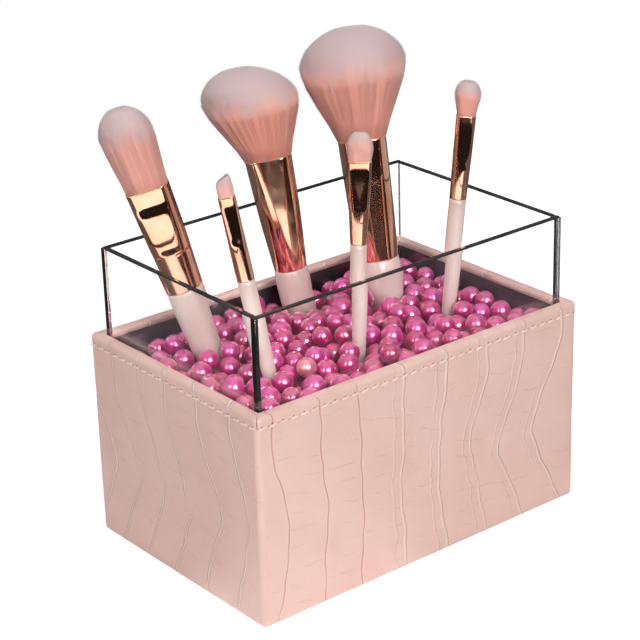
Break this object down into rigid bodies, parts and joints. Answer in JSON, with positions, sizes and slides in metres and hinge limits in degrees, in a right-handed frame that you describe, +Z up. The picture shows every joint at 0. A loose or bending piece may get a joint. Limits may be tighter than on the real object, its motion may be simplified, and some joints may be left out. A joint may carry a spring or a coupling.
{
  "type": "brush holder",
  "caption": "Open box covered in embossed leather with a lift-out clear insert full of loose pearls that hold make-up brushes upright.",
  "frame": {"origin": "centre of the base, on the surface it stands on", "axes": "+X along the long side, -Y out of the front face, +Z up"},
  "size_m": [0.1906, 0.1349, 0.2242],
  "materials": {
    "pink_leather": "satin, crocodile-embossed",
    "thread": "matte",
    "greyboard": "matte",
    "black_lining": "matte",
    "base_felt": "matte",
    "clear_acrylic": "clear, polished",
    "pearl": "pearl lacquer",
    "cream_lacquer": "satin",
    "rose_gold": "polished rose gold",
    "bristles": "soft fibre, paler at the tips"
  },
  "bodies": {
    "case": {"bottom_board": "greyboard", "front_board": "greyboard", "back_board": "greyboard", "left_board": "greyboard", "right_board": "greyboard", "leather_wrap": "pink_leather", "lining_floor": "black_lining", "lining_front": "black_lining", "lining_back": "black_lining", "lining_left": "black_lining", "lining_right": "black_lining", "base_felt": "base_felt", "rim_stitching": "thread"},
    "insert": {"acrylic_front": "clear_acrylic", "acrylic_back": "clear_acrylic", "acrylic_left": "clear_acrylic", "acrylic_right": "clear_acrylic", "acrylic_floor": "clear_acrylic", "pearl_layer_1": "pearl", "pearl_layer_2": "pearl", "pearl_layer_3": "pearl", "pearl_layer_4": "pearl", "pearl_layer_5": "pearl", "pearl_layer_6": "pearl"},
    "foundation_brush": {"foundation_handle": "cream_lacquer", "foundation_ferrule": "rose_gold", "foundation_bristles": "bristles"},
    "liner_brush": {"liner_handle": "cream_lacquer", "liner_ferrule": "rose_gold", "liner_bristles": "bristles"},
    "blush_brush": {"blush_handle": "cream_lacquer", "blush_ferrule": "rose_gold", "blush_bristles": "bristles"},
    "shader_brush": {"shader_handle": "cream_lacquer", "shader_ferrule": "rose_gold", "shader_bristles": "bristles"},
    "powder_brush": {"powder_handle": "cream_lacquer", "powder_ferrule": "rose_gold", "powder_bristles": "bristles"},
    "crease_brush": {"crease_handle": "cream_lacquer", "crease_ferrule": "rose_gold", "crease_bristles": "bristles"}
  },
  "joints": [
    {"name": "insert_lift", "type": "slide", "parent": "case", "child": "insert", "axis": [0, 0, 1], "range_m": [0, 0.11]},
    {"name": "foundation_draw", "type": "slide", "parent": "insert", "child": "foundation_brush", "axis": [-0.2331, 0.1847, 0.9548], "range_m": [0, 0.12]},
    {"name": "liner_draw", "type": "slide", "parent": "insert", "child": "liner_brush", "axis": [-0.123, 0.1274, 0.9842], "range_m": [0, 0.12]},
    {"name": "blush_draw", "type": "slide", "parent": "insert", "child": "blush_brush", "axis": [-0.1002, 0.1311, 0.9863], "range_m": [0, 0.12]},
    {"name": "shader_draw", "type": "slide", "parent": "insert", "child": "shader_brush", "axis": [0.0736, 0.036, 0.9966], "range_m": [0, 0.12]},
    {"name": "powder_draw", "type": "slide", "parent": "insert", "child": "powder_brush", "axis": [-0.0197, 0.1517, 0.9882], "range_m": [0, 0.12]},
    {"name": "crease_draw", "type": "slide", "parent": "insert", "child": "crease_brush", "axis": [0.1126, -0.0231, 0.9934], "range_m": [0, 0.12]}
  ]
}
